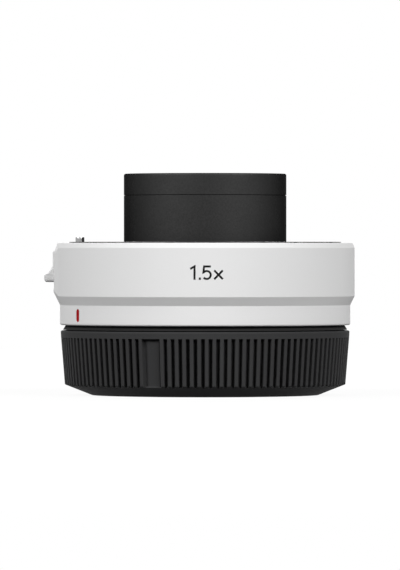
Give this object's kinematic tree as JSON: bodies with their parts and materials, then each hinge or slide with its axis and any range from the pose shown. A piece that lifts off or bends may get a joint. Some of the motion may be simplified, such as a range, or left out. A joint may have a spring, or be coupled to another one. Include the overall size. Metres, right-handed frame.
{
  "type": "camera teleconverter",
  "caption": "Teleconverter with a white housing, black front barrel, steel bayonet mounts, sliding lens release and a ribbed rear cap on which it stands.",
  "frame": {"origin": "on the optical axis, in the middle of the rear cap's flat base", "axes": "+Z along the optical axis towards the lens side, -X towards the release lever, -Y towards the viewer"},
  "size_m": [0.074, 0.0712, 0.0526],
  "materials": {
    "white_paint": "satin white paint with a faint orange peel",
    "red_paint": "matt red filled mark",
    "mount_steel": "turned steel",
    "spring_steel": "plain steel",
    "polished_steel": "polished steel",
    "black_moulding": "matt black moulding",
    "contact_gold": "gold plated",
    "black_alloy": "black anodised, finely turned",
    "coated_glass": "polished and coated glass",
    "board_green": "green solder mask",
    "amber_film": "amber polyimide film",
    "seal_rubber": "matt black rubber",
    "cap_plastic": "satin black moulding"
  },
  "bodies": {
    "converter": {"housing": "white_paint", "camera_index_mark": "red_paint", "front_mount_ring": "mount_steel", "lens_index_dot": "red_paint", "front_mount_screws": "mount_steel", "bayonet_spring": "spring_steel", "inner_shroud": "black_moulding", "socket_liner": "black_moulding", "shroud_screws": "spring_steel", "front_contact_block": "black_moulding", "front_barrel": "black_alloy", "front_ring": "black_alloy", "front_lens": "coated_glass", "lens_spacer": "black_alloy", "doublet_front_lens": "coated_glass", "doublet_rear_lens": "coated_glass", "rear_lens_cell": "black_alloy", "triplet_ring": "black_alloy", "triplet_front_lens": "coated_glass", "triplet_middle_lens": "coated_glass", "triplet_rear_lens": "coated_glass", "rear_lens": "coated_glass", "rear_lens_ring": "black_alloy", "main_frame": "black_alloy", "circuit_board": "board_green", "board_chips": "black_moulding", "board_screws": "spring_steel", "flex_cable": "amber_film", "rear_mount_ring": "mount_steel", "rear_mount_screws": "mount_steel", "mount_seal": "seal_rubber", "rear_baffle": "black_moulding", "rear_contact_block": "black_moulding", "rear_contacts": "contact_gold", "rear_contact_screws": "spring_steel", "lock_spring": "spring_steel"},
    "rear_cap": {"rear_cap": "cap_plastic"},
    "release_lever": {"release_lever": "white_paint", "lever_arm": "spring_steel", "lever_pin": "spring_steel"},
    "lock_pin": {"lock_pin": "polished_steel"},
    "contact_pins": {"front_contact_pins": "contact_gold"}
  },
  "joints": [
    {"name": "cap_turn", "type": "hinge", "parent": "converter", "child": "rear_cap", "pos_m": [0, 0, 0], "axis": [0, 0, 1], "range_deg": [-38.5, 0]},
    {"name": "lever_slide", "type": "slide", "parent": "converter", "child": "release_lever", "axis": [0, 0, -1], "range_m": [0, 0.0016], "stiffness_N_per_m": 600, "springref_m": -0.002},
    {"name": "lock_pin_slide", "type": "slide", "parent": "converter", "child": "lock_pin", "axis": [0, 0, -1], "range_m": [0, 0.0016], "deforming": ["lock_spring"]},
    {"name": "contact_pins_slide", "type": "slide", "parent": "converter", "child": "contact_pins", "axis": [0, 0, -1], "range_m": [0, 0.0007], "stiffness_N_per_m": 800, "springref_m": -0.001}
  ],
  "couplings": [
    {"joint": "lock_pin_slide", "follows": "lever_slide", "ratio": 1}
  ]
}
